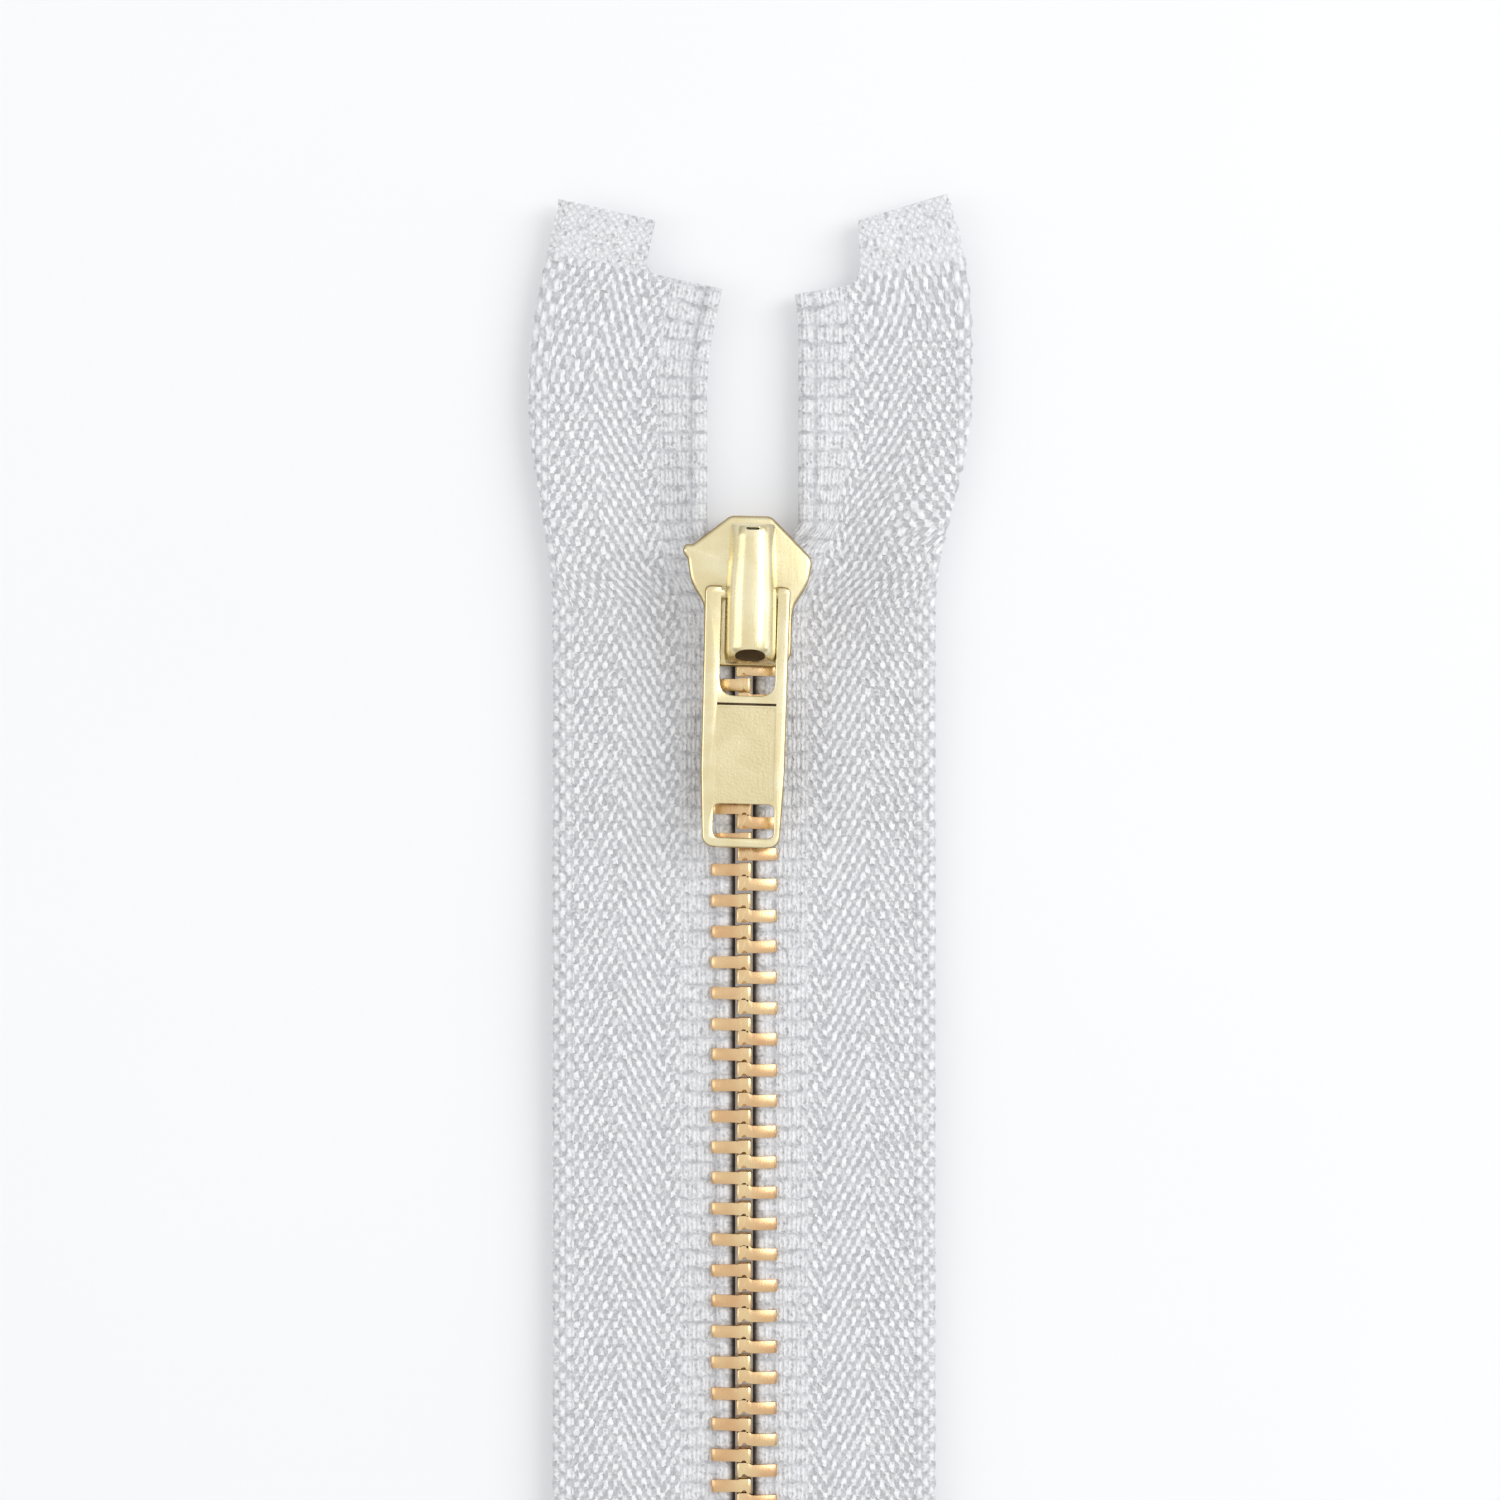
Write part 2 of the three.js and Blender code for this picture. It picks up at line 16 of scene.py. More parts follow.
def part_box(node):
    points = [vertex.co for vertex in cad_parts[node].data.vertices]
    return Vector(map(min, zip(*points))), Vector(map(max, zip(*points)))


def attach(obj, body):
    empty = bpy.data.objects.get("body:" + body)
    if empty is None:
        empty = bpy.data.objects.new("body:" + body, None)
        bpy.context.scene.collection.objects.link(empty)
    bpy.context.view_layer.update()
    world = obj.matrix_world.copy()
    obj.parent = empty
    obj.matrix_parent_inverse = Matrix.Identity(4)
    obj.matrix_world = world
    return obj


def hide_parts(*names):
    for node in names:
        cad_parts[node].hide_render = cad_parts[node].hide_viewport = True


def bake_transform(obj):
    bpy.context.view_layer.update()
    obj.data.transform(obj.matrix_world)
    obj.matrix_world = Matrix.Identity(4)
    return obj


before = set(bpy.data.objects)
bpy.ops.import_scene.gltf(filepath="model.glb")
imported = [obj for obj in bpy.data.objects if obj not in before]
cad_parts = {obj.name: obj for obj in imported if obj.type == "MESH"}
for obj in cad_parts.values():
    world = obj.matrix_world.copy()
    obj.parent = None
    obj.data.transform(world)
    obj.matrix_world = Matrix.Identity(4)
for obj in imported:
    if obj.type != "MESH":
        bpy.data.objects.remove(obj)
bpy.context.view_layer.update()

MM = 0.001

# ---- sizes of the zipper, in millimetres --------------------------------------------

# Teeth, and the cords that they clamp on.
PITCH = 2.09
TEETH_PER_SIDE = 48
TEETH_PER_GROUP = 6
FIRST_TOOTH_Y = 1.01
TOOTH_REACH = 1.9  # from the cord's middle in to the tip
TOOTH_HEEL = 0.85  # from the cord's middle out to the back of the clamp
TOOTH_HALF_HEIGHT = 1.05
TOOTH_HALF_BAR = 0.4
CUP_HALF = 0.49
CUP_FLOOR_Z = -0.3  # the floor of the hollow that the next tooth's head sits over
CLAMP_GAP = 0.02
TAPE_GAP = 0.03
CORD_X = 1.4  # the cord's middle from the middle of the closed chain
CORD_RADIUS = 0.55
CHAIN_Z = 2.0

# Tapes: the notch is the corner cut from each tape's top end.
TAPE_THICKNESS = 0.55
TAPE_OUTER = 11.6  # from the cord's middle out to the selvedge
CORD_COLUMNS = 11
FLAT_COLUMNS = 65
SCALLOP = 0.07  # how far the selvedge goes in and out
TABLE_GAP = 0.02
BOTTOM_STOP_LENGTH = 3.4
BOTTOM_TAIL = 18.0
NOTCH_WIDTH = 4.75
NOTCH_DEPTH = 3.5
NOTCH_FILLET = 1.0
DROOP_START = -5.0  # the tapes come down to the table from here
DROOP_LENGTH = 7.0

# Slider, and how the cords and tapes part in its throat and above it.
SLIDER_LENGTH = 10.2
SLIDER_Y = 99.3
SLIDER_THICKNESS = 4.0
WING = 0.85
CHANNEL = 2.3
TAPE_SLOT_HALF = 0.5
CROWN_WALL = 0.35
TRAVEL_PITCHES = 45
THROAT_START = -1.3
THROAT_LENGTH = 3.6
THROAT_SPREAD = 1.15
OUTER_SPREAD_LENGTH = 14.5
TAIL_SPREAD_LENGTH = 2.6
FLAT_SPREAD_LENGTH = 9.0
CORD_SWELL = 0.26  # how much nearer the cords come to each other between the teeth
TOP_STOP_ABOVE = 2.35
HINGE_Y = SLIDER_Y + THROAT_START - TRAVEL_PITCHES * PITCH

# Pull, crown and lock.
BAR_Y = -0.2
BAR_Z = 4.65
BAR_RADIUS = 0.5
PULL_THICKNESS = 1.0
PANEL_DEPTH = 0.14
PULL_INNER_X = 0.14  # how far off centre the pull's openings are pressed
CROWN_STEPS = 33
CHAIN_X = -0.3  # the middle of the chain, from the middle of the slider
PRONG_X = -0.4
PRONG_HALF = 0.2
PRONG_TIP_Z = 3.1
LEAF_Z = 5.3
LEAF_THICKNESS = 0.25

# Each side: which way out is, how far its free tail spreads, and how it leans back in.
SIDES = {
    "left": {
        "sign": -1, "spread": 1.65, "lean_start": 13.5, "lean_turn": 5.0, "lean": 12.5,
        "outer_spread": 1.65, "end": 24.2, "notch_width": 4.9, "head_shift": -0.06,
        "bow": 1.45, "bow_skew": 0.62, "notch_slope": 0.0,
    },
    "right": {
        "sign": 1, "spread": 2.85, "lean_start": 17.5, "lean_turn": 5.0, "lean": 17.0,
        "outer_spread": 2.5, "end": 23.8, "notch_width": 3.9, "head_shift": 0.06,
        "bow": 1.0, "bow_skew": 0.8, "notch_slope": 0.29,
    },
}

# Weave: yarns across the tape, and how often the twill repeats along it.
YARN = 0.327
TWILL_REPEAT = 2.42
LADDER_YARN = 0.61
LADDER_REPEAT = 1.21
FLOAT_TILT = 0.3  # how far each float slants against the climb of the twill
LADDER_END = 2.9
TWILL_TURNS = (4.35, 6.75)
SELVEDGE_START = 10.3
SELVEDGE_YARN = 0.43
PRESSED_FROM = 119.6
PRESSED_CHECK = 0.55
CREASE = 0.62  # where the flat tape meets its thick edge

CHAIN_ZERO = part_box("bottom_stop")[1].y
rng = np.random.default_rng(7)


# ---- meshes -------------------------------------------------------------------------


def add_object(name, mesh, *materials):
    obj = bpy.data.objects.new(name, mesh)
    bpy.context.scene.collection.objects.link(obj)
    for material in materials:
        mesh.materials.append(material)
    return obj


def make_mesh(name, points, faces):
    mesh = bpy.data.meshes.new(name)
    mesh.from_pydata([tuple(p) for p in points], [], [tuple(f) for f in faces])
    mesh.update()
    return mesh


def shade(obj, sharp_angle=40):
    """Smooth shading, with the edges sharper than sharp_angle kept crisp."""
    obj.data.polygons.foreach_set("use_smooth", [True] * len(obj.data.polygons))
    obj.data.set_sharp_from_angle(angle=math.radians(sharp_angle))
    return obj


def apply_modifiers(obj):
    depsgraph = bpy.context.evaluated_depsgraph_get()
    mesh = bpy.data.meshes.new_from_object(obj.evaluated_get(depsgraph))
    obj.modifiers.clear()
    obj.data = mesh
    return obj


def combine(obj, other, operation):
    """Boolean of obj with other, which is used up."""
    modifier = obj.modifiers.new("boolean", "BOOLEAN")
    modifier.operation = operation
    modifier.solver = "EXACT"
    modifier.object = other
    modifier.material_mode = "TRANSFER"
    apply_modifiers(obj)
    bpy.data.objects.remove(other)
    return obj


def bevel(obj, width, segments=3, angle=30):
    modifier = obj.modifiers.new("bevel", "BEVEL")
    modifier.width = width
    modifier.segments = segments
    modifier.limit_method = "ANGLE"
    modifier.angle_limit = math.radians(angle)
    return apply_modifiers(obj)


def prism(name, outline, low, high, materials=(), across="z"):
    """A flat outline pushed from low to high along one axis.

    It is drawn in (x, y), in (y, z) for across x, or in (x, z) for across y.
    """
    bottom = [(a, b, low) for a, b in outline]
    top = [(a, b, high) for a, b in outline]
    count = len(outline)
    faces = [tuple(reversed(range(count))), tuple(range(count, 2 * count))]
    faces += [(k, (k + 1) % count, count + (k + 1) % count, count + k) for k in range(count)]
    points = bottom + top
    if across == "x":
        points = [(c, a, b) for a, b, c in points]
    elif across == "y":
        points = [(a, c, b) for a, b, c in points]
    return add_object(name, make_mesh(name, points, faces), *materials)


def paint_sides(obj, slot):
    """Gives the walls of a prism one of its materials, leaving its two flat faces."""
    for polygon in obj.data.polygons[2:]:
        polygon.material_index = slot


def paint(obj, slot):
    """Gives all of a shape one of its materials."""
    obj.data.polygons.foreach_set("material_index", [slot] * len(obj.data.polygons))


def block(name, x, y, z, materials=()):
    outline = [(x[0], y[0]), (x[1], y[0]), (x[1], y[1]), (x[0], y[1])]
    return prism(name, outline, z[0], z[1], materials)


def rounded(corners, steps=6):
    """A closed outline through (x, y, radius) corners, each one rounded."""
    outline = []
    for k, (x, y, radius) in enumerate(corners):
        corner = np.array([x, y])
        ends = []
        for other in (corners[k - 1], corners[(k + 1) % len(corners)]):
            towards = np.array(other[:2]) - corner
            reach = np.linalg.norm(towards)
            ends.append(corner + towards / reach * min(radius, 0.49 * reach))
        if radius == 0:
            outline.append((x, y))
            continue
        for t in np.linspace(0, 1, steps + 1):
            p = (1 - t) ** 2 * ends[0] + 2 * t * (1 - t) * corner + t * t * ends[1]
            outline.append((float(p[0]), float(p[1])))
    return outline


def rounded_box(half, low, high, radius, middle=0.0):
    left, right = middle - half, middle + half
    return rounded([
        (left, low, radius), (right, low, radius), (right, high, radius), (left, high, radius),
    ])


def mirrored(right):
    """A whole outline from its right half, listed from the bottom up."""
    return list(right) + [(-x, *rest) for x, *rest in reversed(right)]


def place(obj, moved):
    """Puts a shape drawn in millimetres where it belongs, in metres."""
    obj.data.transform(Matrix.Scale(MM, 4) @ moved)
    obj.data.update()
    return obj


def chain_shift(y=0.0):
    return Matrix.Translation((0, CHAIN_ZERO / MM + y, 0))


# ---- where the cords and tapes run --------------------------------------------------


def smooth(t):
    u = np.clip(t, 0, 1)
    return u * u * (3 - 2 * u)


def lean_in(side, y):
    past = np.maximum(0, y - SLIDER_Y - side["lean_start"])
    turn = np.minimum(past, side["lean_turn"])
    slope = math.tan(math.radians(side["lean"]))
    return slope * (turn ** 2 / (2 * side["lean_turn"]) + past - turn)


def lean_angle(side, y):
    past = np.clip(y - SLIDER_Y - side["lean_start"], 0, side["lean_turn"])
    return np.arctan(math.tan(math.radians(side["lean"])) * past / side["lean_turn"])


def cord_x(side, y):
    local = y - SLIDER_Y
    throat_end = THROAT_START + THROAT_LENGTH
    spread = THROAT_SPREAD * smooth((local - THROAT_START) / THROAT_LENGTH)
    free = side["spread"] - THROAT_SPREAD
    spread = spread + free * smooth((local - throat_end) / TAIL_SPREAD_LENGTH)
    return CORD_X + spread - lean_in(side, y)


def cord_heading(side, y, step=0.01):
    return math.atan2(cord_x(side, y + step) - cord_x(side, y - step), 2 * step)


def flat_lag(side, y, out):
    """How much later than its cord the flat of the tape swings out beside the slider."""
    local = y - SLIDER_Y - THROAT_START - THROAT_LENGTH
    free = side["spread"] - THROAT_SPREAD
    behind = free * (smooth(local / TAIL_SPREAD_LENGTH) - smooth(local / FLAT_SPREAD_LENGTH))
    return -behind * smooth((out - CREASE) / 5) * smooth((TAPE_OUTER - out) / 4)


def selvedge_out(side, y):
    local = y - SLIDER_Y
    spread = side["outer_spread"] * smooth((local - THROAT_START) / OUTER_SPREAD_LENGTH)
    return CORD_X + TAPE_OUTER + spread - lean_in(side, y) - cord_x(side, y)


def layer_z(y):
    down = smooth((DROOP_START - y) / DROOP_LENGTH)
    return CHAIN_Z - down * (CHAIN_Z - TAPE_THICKNESS / 2)


# ---- materials ----------------------------------------------------------------------


class Field:
    """A number that varies over a surface, worked out by a material's math nodes."""

    def __init__(self, tree, socket):
        self.tree = tree
        self.socket = socket

    def math(self, operation, *others):
        node = self.tree.nodes.new("ShaderNodeMath")
        node.operation = operation
        for slot, value in zip(node.inputs, (self, *others)):
            if isinstance(value, Field):
                self.tree.links.new(value.socket, slot)
            else:
                slot.default_value = value
        return Field(self.tree, node.outputs[0])

    def __add__(self, other):
        return self.math("ADD", other)

    def __sub__(self, other):
        return self.math("SUBTRACT", other)

    def __mul__(self, other):
        return self.math("MULTIPLY", other)

    def floor(self):
        return self.math("FLOOR")

    def fract(self):
        return self.math("FRACT")

    def above(self, limit):
        """How far this is above limit, and 0 below it."""
        return (self - limit).math("MAXIMUM", 0.0)

    def hump(self, middle, half):
        """1 at middle, falling to 0 at half either side of it."""
        away = (self - middle) * (1 / half)
        return (away * away * -1.0 + 1.0).math("MAXIMUM", 0.0)

    def ramp(self, low, high):
        """0 up to low, 1 from high on."""
        node = self.tree.nodes.new("ShaderNodeMapRange")
        node.interpolation_type = "SMOOTHSTEP"
        node.inputs["From Min"].default_value = low
        node.inputs["From Max"].default_value = high
        self.tree.links.new(self.socket, node.inputs["Value"])
        return Field(self.tree, node.outputs["Result"])


def new_material(name, **settings):
    material = bpy.data.materials.new(name)
    material.use_nodes = True
    shader = material.node_tree.nodes["Principled BSDF"]
    for key, value in settings.items():
        shader.inputs[key.replace("_", " ")].default_value = value
    return material, material.node_tree, shader


def vector_noise(tree, vector, scale, detail=3.0):
    node = tree.nodes.new("ShaderNodeTexNoise")
    node.inputs["Scale"].default_value = scale
    node.inputs["Detail"].default_value = detail
    tree.links.new(vector, node.inputs["Vector"])
    return Field(tree, node.outputs["Fac"])


def object_position(tree):
    return tree.nodes.new("ShaderNodeTexCoord").outputs["Object"]


def stretched(tree, vector, scale):
    node = tree.nodes.new("ShaderNodeMapping")
    node.inputs["Scale"].default_value = scale
    tree.links.new(vector, node.inputs["Vector"])
    return node.outputs["Vector"]


def mix_colours(tree, amount, low, high):
    node = tree.nodes.new("ShaderNodeMix")
    node.data_type = "RGBA"
    tree.links.new(amount.socket, node.inputs["Factor"])
    node.inputs["A"].default_value = (*low, 1)
    node.inputs["B"].default_value = (*high, 1)
    return node.outputs["Result"]


def multiply_colours(tree, one, other):
    node = tree.nodes.new("ShaderNodeMix")
    node.data_type = "RGBA"
    node.blend_type = "MULTIPLY"
    node.inputs["Factor"].default_value = 1.0
    tree.links.new(one, node.inputs["A"])
    tree.links.new(other, node.inputs["B"])
    return node.outputs["Result"]


def link_bump(tree, shader, height, distance, strength=1.0):
    node = tree.nodes.new("ShaderNodeBump")
    node.inputs["Distance"].default_value = distance
    node.inputs["Strength"].default_value = strength
    tree.links.new(height.socket, node.inputs["Height"])
    tree.links.new(node.outputs["Normal"], shader.inputs["Normal"])


def twill(out, along):
    """Herringbone: short floats that climb outwards, turn back, and climb again."""
    column = out * (1 / YARN)
    within = column.fract() - 0.5
    middle = (column.floor() + 0.5 - within * FLOAT_TILT) * YARN
    first, second = TWILL_TURNS
    climb = middle - middle.above(first) * 2.0 + middle.above(second) * 2.0
    course = (along * (1 / TWILL_REPEAT) - climb * (1 / (4 * YARN))).fract()
    between = (course - 0.5).math("ABSOLUTE").ramp(0.34, 0.44) * 0.55
    over = course.hump(0.5, 0.15) * 1.15 + between
    under = course.hump(0.76, 0.12) + course.hump(0.24, 0.12) * 0.7
    return over * (within.hump(0.0, 0.95) * 0.6 + 0.4) - under * 0.4 + 0.2


def ladder(out, along, uneven):
    """Bars side by side in rows beside the teeth, with broken dark lines between them."""
    row = along * (1 / LADDER_REPEAT)
    offset = (row.floor() * 0.5).fract()
    column = out * (1 / LADDER_YARN) + offset
    bar = (column.fract().hump(0.5, 0.5) * 1.2).math("MINIMUM", 1.0)
    length = (row.fract().hump(0.5, 0.5) * 1.25).math("MINIMUM", 1.0)
    split = column.fract().hump(0.5, 0.14) * 0.5
    raised = length * (bar * 0.8 + 0.2 - split)
    return raised * 0.9 + (raised * -1.0 + 1.0) * uneven * 1.6 + 0.02


def selvedge(out, along):
    """Loops in three columns down the outer edge, alternate columns half a step on."""
    column = (out - SELVEDGE_START) * (1 / SELVEDGE_YARN)
    shift = (column.floor() * 0.5).fract()
    loops = (along * (1 / LADDER_REPEAT) + shift).fract().hump(0.5, 0.4)
    return loops * column.fract().hump(0.5, 0.62)


def pressed_end(out, along):
    """The small even check of the cloth that is pressed flat at the tape's cut end."""
    check = 1.0
    for slant in (out + along, out - along):
        check = (slant * (1 / PRESSED_CHECK)).fract().hump(0.5, 0.5) * check
    return check * 0.5 + 0.35


def weave(tree, thread, out, along):
    """How high the woven yarns stand, from where they are on the tape."""
    wander = vector_noise(tree, thread, 0.9, 2.0) - 0.5
    ragged = vector_noise(tree, thread, 3.4, 1.0) - 0.5
    uneven = vector_noise(tree, thread, 1.7, 2.0) - 0.5
    out = out + wander * 0.16 + ragged * 0.27
    along = along + wander * 0.3 + ragged * 0.56
    inner = out.ramp(LADDER_END + 0.3, LADDER_END - 0.3)
    outer = out.ramp(SELVEDGE_START - 0.05, SELVEDGE_START + 0.05)
    middle = inner.math("MAXIMUM", outer) * -1.0 + 1.0
    height = twill(out, along) * (uneven * 1.4 + 1.0) * middle
    height = height + ladder(out, along, uneven) * inner + selvedge(out, along) * outer
    height = height * (out.hump(CREASE, 0.2) * (uneven * 1.5 - 0.85) + 1.0)
    pressed = along.ramp(PRESSED_FROM, PRESSED_FROM + 0.6)
    return height * (pressed * -1.0 + 1.0) + pressed_end(out, along) * pressed


def cloth_material():
    material, tree, shader = new_material("tape_cloth", Roughness=0.9, Sheen_Weight=0.15)
    node = tree.nodes.new("ShaderNodeAttribute")
    node.attribute_name = "thread"
    thread = node.outputs["Vector"]
    parts = tree.nodes.new("ShaderNodeSeparateXYZ")
    tree.links.new(thread, parts.inputs[0])
    out, along = Field(tree, parts.outputs["X"]), Field(tree, parts.outputs["Y"])
    height = weave(tree, thread, out, along)
    fibres = vector_noise(tree, thread, 4.2, 3.0) - 0.5
    pits = vector_noise(tree, thread, 2.3, 1.0).ramp(0.45, 0.31)
    blotches = vector_noise(tree, thread, 0.35, 2.0) - 0.5
    tone = height * 0.8 + fibres * 1.2 + blotches * 0.25 - pits * 0.4 + 0.17
    # Painted shade: the cords' inner flanks inside the closed chain, below the slider, are
    # darkened nearly to black.
    painted_gap_shade = out.ramp(-0.2, -0.45) * along.ramp(SLIDER_Y, SLIDER_Y - 2) * along.ramp(0.0, 1.0)
    colour = mix_colours(tree, tone, (0.51, 0.52, 0.545), (0.93, 0.94, 0.97))
    gap_shade_colour = mix_colours(tree, painted_gap_shade, (1, 1, 1), (0.07, 0.055, 0.045))
    tree.links.new(multiply_colours(tree, colour, gap_shade_colour), shader.inputs["Base Color"])
    link_bump(tree, shader, height + fibres * 0.5 - pits * 0.4, 0.00012, 0.8)
    return material


def plated_metal(
    name, low, high, roughness, grain=900.0, relief=0.000004, tone=None, brushed=1.0
):
    """Metal whose colour, polish and surface vary a little from place to place."""
    material, tree, shader = new_material(name, Metallic=1.0)
    position = object_position(tree)
    patches = vector_noise(tree, position, 500.0)
    fine = vector_noise(tree, position, grain * 6, 4.0)
    scratches = vector_noise(tree, stretched(tree, position, (9.0, 0.8, 3.0)), grain, 3.0)
    scratches = scratches * brushed
    amount = patches.ramp(0.3, 0.7)
    if tone:
        node = tree.nodes.new("ShaderNodeAttribute")
        node.attribute_name = tone
        amount = amount * 0.4 + Field(tree, node.outputs["Fac"]) * 0.6
    tree.links.new(mix_colours(tree, amount, low, high), shader.inputs["Base Color"])
    polish = fine * 0.12 + scratches * 0.14 + (roughness - 0.13)
    tree.links.new(polish.socket, shader.inputs["Roughness"])
    link_bump(tree, shader, fine * 0.6 + scratches, relief)
    return material


def floor_material():
    material, tree, shader = new_material(
        "table", Roughness=0.85, Emission_Color=(0.97, 0.98, 1.0, 1.0), Emission_Strength=0.2
    )
    speckle = vector_noise(tree, object_position(tree), 30.0)
    colour = mix_colours(tree, speckle, (0.72, 0.73, 0.745), (0.74, 0.75, 0.765))
    tree.links.new(colour, shader.inputs["Base Color"])
    return material


cloth = cloth_material()
# Brass colour follows the tone attribute: random from tooth to tooth, plus a painted highlight
# towards each tooth's head.
brass = plated_metal("brass", (0.72, 0.43, 0.22), (0.88, 0.69, 0.39), 0.28, tone="tone")
gold = plated_metal("gold_plate", (0.85, 0.73, 0.43), (0.93, 0.84, 0.56), 0.29)
stippled = plated_metal(
    "gold_plate_stippled", (0.76, 0.66, 0.40), (0.84, 0.74, 0.47), 0.40,
    relief=0.00004, brushed=0.1,
)
# Painted shade: darker brown for the side walls of the slider's wings and the pull, as if they
# stood in shade.
painted_shade_wall = plated_metal("painted_shade_wall", (0.42, 0.29, 0.13), (0.56, 0.42, 0.21), 0.42)
# Painted shade: near-black brass for the crown's inside, its tail hollow and the pull's line, so
# that they look dark.
painted_recess_shade = plated_metal("brass_painted_recess_shade", (0.10, 0.07, 0.04), (0.20, 0.14, 0.08), 0.5)
steel = plated_metal("spring_steel", (0.52, 0.52, 0.54), (0.66, 0.66, 0.68), 0.33)


# ---- tapes --------------------------------------------------------------------------


def tape_columns():
    """Distances out from the cord's middle: close together round the cord."""
    turn = np.linspace(0, math.pi, CORD_COLUMNS)
    cord = CREASE - (CREASE + CORD_RADIUS) * (1 + np.cos(turn)) / 2
    flat = np.linspace(cord[-1], TAPE_OUTER, FLAT_COLUMNS)[1:]
    flat[np.argmin(np.abs(flat - NOTCH_WIDTH))] = NOTCH_WIDTH
    return np.concatenate([cord, flat])


def tape_rows(side, step=0.25):
    bottom = -BOTTOM_STOP_LENGTH - BOTTOM_TAIL
    top = SLIDER_Y + side["end"]
    notch = top - NOTCH_DEPTH
    fillet = notch + NOTCH_FILLET * (1 - np.cos(np.linspace(0, math.pi / 2, 6)))
    below = np.linspace(bottom, notch, round((notch - bottom) / step) + 1)
    above = np.linspace(fillet[-1], top, round((top - fillet[-1]) / step) + 1)
    return np.concatenate([below, fillet[1:], above[1:]]), notch


def inner_edge(side, y, notch):
    """Where the tape's inner edge is: the cord, or past the notch the cut corner."""
    rise = np.clip((y - notch) / NOTCH_FILLET, 0, 1)
    cut = side["notch_width"] + side["notch_slope"] * np.maximum(0, y - notch)
    cut = cut - NOTCH_FILLET * (1 - np.sqrt(1 - (1 - rise) ** 2))
    return np.where(y > notch + 1e-6, cut, -CORD_RADIUS)


def tape_half_thickness(out, width, along):
    """Half of the cloth's thickness: a round cord, a flat tape, and a scalloped selvedge."""
    round_half = (CREASE + CORD_RADIUS) / 2
    away = (out - CREASE + round_half) / round_half
    cord = CORD_RADIUS * np.sqrt(np.maximum(1 - away ** 2, 0))
    flat = TAPE_THICKNESS / 2 * smooth((out + 0.2) / 0.3)
    half = np.maximum(cord, flat)
    edge = smooth((width - out) / 0.5)
    half = half * (0.35 + 0.65 * edge)
    bars = 0.5 + 0.5 * np.cos(2 * math.pi * along / LADDER_REPEAT)
    beside = smooth((out - CREASE) / 0.3) * smooth((LADDER_END - out) / 0.2)
    selvedge = smooth((out - SELVEDGE_START) / 0.3)
    ribs = 0.03 * np.cos(2 * math.pi * out / (2 * YARN)) * smooth((out - LADDER_END) / 0.3)
    return half + 0.05 * bars * (beside + selvedge) + ribs * (1 - selvedge)


def tape_bow(side, y, out):
    """The tape dips beside the slider, where the spread chain leaves it slack."""
    local = y - SLIDER_Y
    along = smooth((local + 9) / 10) * smooth((17 - local) / 13)
    across = np.sin(math.pi * np.clip((out - 0.7) / 9.5, 0, 1) ** side["bow_skew"]) ** 2
    waves = 0.12 * np.sin(y * 0.21 + 0.6 * side["sign"]) * smooth((out - 2) / 5)
    settled = smooth((y - DROOP_START) / 6)
    return -side["bow"] * along * across + waves * settled


def tape_layout(side):
    """The cloth's grid: along it, its column, how far out that lies, and what is cut off."""
    ys, notch = tape_rows(side)
    y, out = np.meshgrid(ys, tape_columns(), indexing="ij")
    inner = inner_edge(side, y, notch)
    scale = selvedge_out(side, y) / TAPE_OUTER
    stretched_out = np.where(out > CORD_RADIUS, out * scale, out)
    scallop = SCALLOP * np.cos(2 * math.pi * y / LADDER_REPEAT)
    placed_out = np.maximum(stretched_out, inner) + scallop * smooth(out - SELVEDGE_START)
    return y, out, placed_out, stretched_out <= inner


def tape_points(side, y, out, placed_out):
    """The points of the cloth's front, then those of its back."""
    half = tape_half_thickness(out, TAPE_OUTER, y)
    middle = np.maximum(layer_z(y), half) + tape_bow(side, y, out)
    middle = np.maximum(middle, half + TABLE_GAP)
    angle = lean_angle(side, y)
    swell = CORD_SWELL * smooth((SLIDER_Y - y) / 3) * smooth(-out / CORD_RADIUS)
    across = placed_out + flat_lag(side, y, out) - swell
    x = side["sign"] * (cord_x(side, y) + across * np.cos(angle))
    along = y + placed_out * np.sin(angle)
    faces = [np.stack([x, along, z], axis=-1) for z in (middle + half, middle - half)]
    return np.concatenate([face.reshape(-1, 3) for face in faces])


def tape_quads(cut_off, sign):
    """The squares of the cloth's grid, without those inside the notch."""
    index = np.arange(cut_off.size).reshape(cut_off.shape)
    a, b = index[:-1, :-1], index[:-1, 1:]
    c, d = index[1:, 1:], index[1:, :-1]
    kept = ~(cut_off[:-1, 1:] | cut_off[1:, 1:])
    quads = np.stack([a[kept], b[kept], c[kept], d[kept]], axis=-1)
    return quads[:, ::-1] if sign < 0 else quads


def tape(name, side):
    y, out, placed_out, cut_off = tape_layout(side)
    shell = close_sheet(tape_quads(cut_off, side["sign"]), y.size)
    mesh = make_mesh(name, tape_points(side, y, out, placed_out), shell)
    thread = np.stack([placed_out, y, np.zeros_like(y)], axis=-1).reshape(-1, 3)
    attribute = mesh.attributes.new("thread", "FLOAT_VECTOR", "POINT")
    attribute.data.foreach_set("vector", np.concatenate([thread, thread]).ravel())
    obj = add_object(name, mesh, cloth)
    drop_loose_points(obj)
    return shade(place(obj, chain_shift()), 60)


def close_sheet(quads, count):
    """Front faces, the same faces turned over for the back, and the walls between."""
    edges = {}
    for quad in quads.tolist():
        for k in range(4):
            edges[quad[k], quad[(k + 1) % 4]] = True
    walls = [
        (b, a, a + count, b + count) for a, b in edges if (b, a) not in edges
    ]
    return quads.tolist() + (quads[:, ::-1] + count).tolist() + walls


